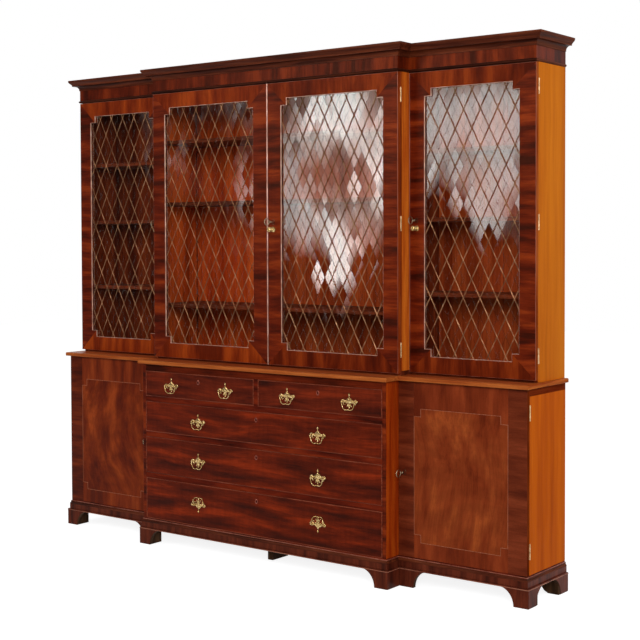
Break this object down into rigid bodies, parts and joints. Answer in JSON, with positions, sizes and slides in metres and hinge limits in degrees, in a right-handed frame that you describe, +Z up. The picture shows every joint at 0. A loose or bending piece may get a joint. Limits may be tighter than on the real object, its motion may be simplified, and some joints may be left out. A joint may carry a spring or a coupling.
{
  "type": "breakfront library bookcase",
  "caption": "Mahogany breakfront library bookcase with brass-latticed glazed doors over a chest of drawers between two cupboards, on bracket feet.",
  "frame": {"origin": "on the floor, under the middle of the bookcase's overall width and depth", "axes": "+X to the right seen from the front, +Y from the front to the back, +Z up"},
  "size_m": [2.718, 0.446, 2.29],
  "materials": {
    "mahogany_veneer": "polished figured veneer",
    "cornice_mahogany": "polished dark wood",
    "faded_side_wood": "faded polished wood",
    "waist_edge_wood": "polished wood",
    "inner_wood": "plain wood",
    "brass": "polished",
    "key_steel": "aged",
    "glass": "clear"
  },
  "bodies": {
    "case": {"plinth": "mahogany_veneer", "base_side_left": "faded_side_wood", "base_side_right": "faded_side_wood", "base_partition_left": "faded_side_wood", "base_partition_right": "faded_side_wood", "base_back": "inner_wood", "waist_board": "waist_edge_wood", "drawer_frame": "mahogany_veneer", "dustboard_middle": "mahogany_veneer", "dustboard_lower": "mahogany_veneer", "upper_side_left": "faded_side_wood", "upper_side_right": "faded_side_wood", "upper_partition_left": "faded_side_wood", "upper_partition_right": "faded_side_wood", "upper_bottom_board": "inner_wood", "upper_back": "inner_wood", "cornice": "cornice_mahogany", "shelf_centre_low": "inner_wood", "shelf_centre_middle": "inner_wood", "shelf_centre_high": "inner_wood", "shelf_left_low": "inner_wood", "shelf_left_middle": "inner_wood", "shelf_left_high": "inner_wood", "shelf_right_low": "inner_wood", "shelf_right_middle": "inner_wood", "shelf_right_high": "inner_wood"},
    "glazed_door_centre_left": {"upper_door_centre_left": "mahogany_veneer", "door_glass_centre_left": "glass", "door_lattice_centre_left": "brass"},
    "glazed_door_centre_right": {"upper_door_centre_right": "mahogany_veneer", "door_glass_centre_right": "glass", "door_lattice_centre_right": "brass"},
    "glazed_door_left": {"upper_door_left": "mahogany_veneer", "door_glass_left": "glass", "door_lattice_left": "brass"},
    "glazed_door_right": {"upper_door_right": "mahogany_veneer", "door_glass_right": "glass", "door_lattice_right": "brass"},
    "cupboard_door_left": {"lower_door_left": "mahogany_veneer"},
    "cupboard_door_right": {"lower_door_right": "mahogany_veneer"},
    "drawer_top_left_body": {"drawer_top_left": "mahogany_veneer"},
    "drawer_top_right_body": {"drawer_top_right": "mahogany_veneer"},
    "drawer_upper_body": {"drawer_upper": "mahogany_veneer"},
    "drawer_middle_body": {"drawer_middle": "mahogany_veneer"},
    "drawer_bottom_body": {"drawer_bottom": "mahogany_veneer"},
    "bail_top_left_left_body": {"bail_top_left_left": "brass"},
    "bail_top_left_right_body": {"bail_top_left_right": "brass"},
    "bail_top_right_left_body": {"bail_top_right_left": "brass"},
    "bail_top_right_right_body": {"bail_top_right_right": "brass"},
    "bail_upper_left_body": {"bail_upper_left": "brass"},
    "bail_upper_right_body": {"bail_upper_right": "brass"},
    "bail_middle_left_body": {"bail_middle_left": "brass"},
    "bail_middle_right_body": {"bail_middle_right": "brass"},
    "bail_bottom_left_body": {"bail_bottom_left": "brass"},
    "bail_bottom_right_body": {"bail_bottom_right": "brass"},
    "key_left_body": {"key_left": "key_steel"},
    "key_centre_right_body": {"key_centre_right": "key_steel"},
    "key_right_body": {"key_right": "key_steel"},
    "key_lower_left_body": {"key_lower_left": "key_steel"},
    "key_lower_right_body": {"key_lower_right": "key_steel"}
  },
  "joints": [
    {"name": "glazed_door_centre_left_hinge", "type": "hinge", "parent": "case", "child": "glazed_door_centre_left", "pos_m": [-0.7153, -0.097, 0.8995], "axis": [0, 0, -1], "range_deg": [0, 110]},
    {"name": "glazed_door_centre_right_hinge", "type": "hinge", "parent": "case", "child": "glazed_door_centre_right", "pos_m": [0.7153, -0.097, 0.8995], "axis": [0, 0, 1], "range_deg": [0, 110]},
    {"name": "glazed_door_left_hinge", "type": "hinge", "parent": "case", "child": "glazed_door_left", "pos_m": [-1.3193, -0.013, 0.8995], "axis": [0, 0, -1], "range_deg": [0, 110]},
    {"name": "glazed_door_right_hinge", "type": "hinge", "parent": "case", "child": "glazed_door_right", "pos_m": [1.3193, -0.013, 0.8995], "axis": [0, 0, 1], "range_deg": [0, 110]},
    {"name": "cupboard_door_left_hinge", "type": "hinge", "parent": "case", "child": "cupboard_door_left", "pos_m": [-1.3233, -0.09, 0.1265], "axis": [0, 0, -1], "range_deg": [0, 110]},
    {"name": "cupboard_door_right_hinge", "type": "hinge", "parent": "case", "child": "cupboard_door_right", "pos_m": [1.3233, -0.09, 0.1265], "axis": [0, 0, 1], "range_deg": [0, 110]},
    {"name": "drawer_top_left_slide", "type": "slide", "parent": "case", "child": "drawer_top_left_body", "axis": [0, -1, 0], "range_m": [0, 0.3]},
    {"name": "drawer_top_right_slide", "type": "slide", "parent": "case", "child": "drawer_top_right_body", "axis": [0, -1, 0], "range_m": [0, 0.3]},
    {"name": "drawer_upper_slide", "type": "slide", "parent": "case", "child": "drawer_upper_body", "axis": [0, -1, 0], "range_m": [0, 0.3]},
    {"name": "drawer_middle_slide", "type": "slide", "parent": "case", "child": "drawer_middle_body", "axis": [0, -1, 0], "range_m": [0, 0.3]},
    {"name": "drawer_bottom_slide", "type": "slide", "parent": "case", "child": "drawer_bottom_body", "axis": [0, -1, 0], "range_m": [0, 0.3]},
    {"name": "bail_top_left_left_swing", "type": "hinge", "parent": "drawer_top_left_body", "child": "bail_top_left_left_body", "pos_m": [-0.51975, -0.214, 0.775], "axis": [-1, 0, 0], "range_deg": [0, 95]},
    {"name": "bail_top_left_right_swing", "type": "hinge", "parent": "drawer_top_left_body", "child": "bail_top_left_right_body", "pos_m": [-0.18125, -0.214, 0.775], "axis": [-1, 0, 0], "range_deg": [0, 95]},
    {"name": "bail_top_right_left_swing", "type": "hinge", "parent": "drawer_top_right_body", "child": "bail_top_right_left_body", "pos_m": [0.18125, -0.214, 0.775], "axis": [-1, 0, 0], "range_deg": [0, 95]},
    {"name": "bail_top_right_right_swing", "type": "hinge", "parent": "drawer_top_right_body", "child": "bail_top_right_right_body", "pos_m": [0.51975, -0.214, 0.775], "axis": [-1, 0, 0], "range_deg": [0, 95]},
    {"name": "bail_upper_left_swing", "type": "hinge", "parent": "drawer_upper_body", "child": "bail_upper_left_body", "pos_m": [-0.3505, -0.214, 0.6165], "axis": [-1, 0, 0], "range_deg": [0, 95]},
    {"name": "bail_upper_right_swing", "type": "hinge", "parent": "drawer_upper_body", "child": "bail_upper_right_body", "pos_m": [0.3505, -0.214, 0.6165], "axis": [-1, 0, 0], "range_deg": [0, 95]},
    {"name": "bail_middle_left_swing", "type": "hinge", "parent": "drawer_middle_body", "child": "bail_middle_left_body", "pos_m": [-0.3505, -0.214, 0.4315], "axis": [-1, 0, 0], "range_deg": [0, 95]},
    {"name": "bail_middle_right_swing", "type": "hinge", "parent": "drawer_middle_body", "child": "bail_middle_right_body", "pos_m": [0.3505, -0.214, 0.4315], "axis": [-1, 0, 0], "range_deg": [0, 95]},
    {"name": "bail_bottom_left_swing", "type": "hinge", "parent": "drawer_bottom_body", "child": "bail_bottom_left_body", "pos_m": [-0.3505, -0.214, 0.22725], "axis": [1, 0, 0], "range_deg": [0, 120]},
    {"name": "bail_bottom_right_swing", "type": "hinge", "parent": "drawer_bottom_body", "child": "bail_bottom_right_body", "pos_m": [0.3505, -0.214, 0.22725], "axis": [1, 0, 0], "range_deg": [0, 120]},
    {"name": "key_left_turn", "type": "hinge", "parent": "glazed_door_left", "child": "key_left_body", "pos_m": [-0.7515, -0.033, 1.547], "axis": [0, 1, 0], "range_deg": [0, 180]},
    {"name": "key_centre_right_turn", "type": "hinge", "parent": "glazed_door_centre_right", "child": "key_centre_right_body", "pos_m": [0.0375, -0.117, 1.547], "axis": [0, 1, 0], "range_deg": [0, 180]},
    {"name": "key_right_turn", "type": "hinge", "parent": "glazed_door_right", "child": "key_right_body", "pos_m": [0.7515, -0.033, 1.547], "axis": [0, 1, 0], "range_deg": [0, 180]},
    {"name": "key_lower_left_turn", "type": "hinge", "parent": "cupboard_door_left", "child": "key_lower_left_body", "pos_m": [-0.7405, -0.11, 0.484], "axis": [0, 1, 0], "range_deg": [0, 180]},
    {"name": "key_lower_right_turn", "type": "hinge", "parent": "cupboard_door_right", "child": "key_lower_right_body", "pos_m": [0.7405, -0.11, 0.484], "axis": [0, 1, 0], "range_deg": [0, 180]}
  ]
}
